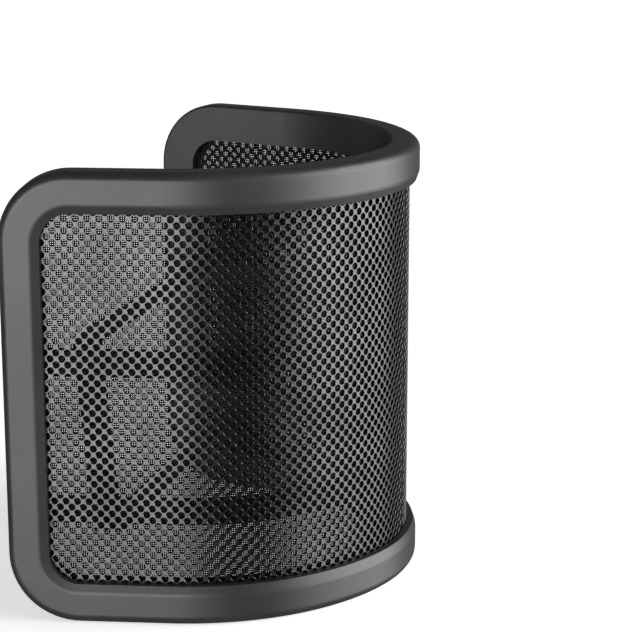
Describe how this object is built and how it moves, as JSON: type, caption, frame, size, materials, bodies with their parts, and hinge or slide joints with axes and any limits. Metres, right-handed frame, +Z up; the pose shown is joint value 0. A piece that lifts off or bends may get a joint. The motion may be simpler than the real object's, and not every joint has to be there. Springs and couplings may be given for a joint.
{
  "type": "pop filter",
  "caption": "U-shaped free-standing microphone pop filter: rounded frame around a perforated metal grille and fine inner mesh, with an elastic band across the open back.",
  "frame": {"origin": "centre of the footprint's bounding box, on the surface that the lower rim stands on", "axes": "+Z up; the U opens towards +Y and its convex nose faces -Y; X runs from arm to arm"},
  "size_m": [0.1174, 0.0819, 0.105],
  "materials": {
    "frame_plastic": "satin moulded ABS",
    "grille_steel": "dark satin coated perforated sheet",
    "mesh_wire": "black woven wire",
    "spacer_plastic": "matte",
    "screw_steel": "black oxide",
    "elastic": "woven elastic",
    "clasp_metal": "black"
  },
  "bodies": {
    "frame": {"outer_frame": "frame_plastic", "inner_frame": "frame_plastic", "outer_grille": "grille_steel", "layer_spacer": "spacer_plastic", "inner_mesh": "mesh_wire", "frame_screws": "screw_steel"},
    "band": {"elastic_band": "elastic", "band_clasp": "clasp_metal"}
  },
  "joints": [
    {"name": "band_slide", "type": "slide", "parent": "frame", "child": "band", "axis": [0, 1, 0], "range_m": [-0.003, 0.002]}
  ]
}
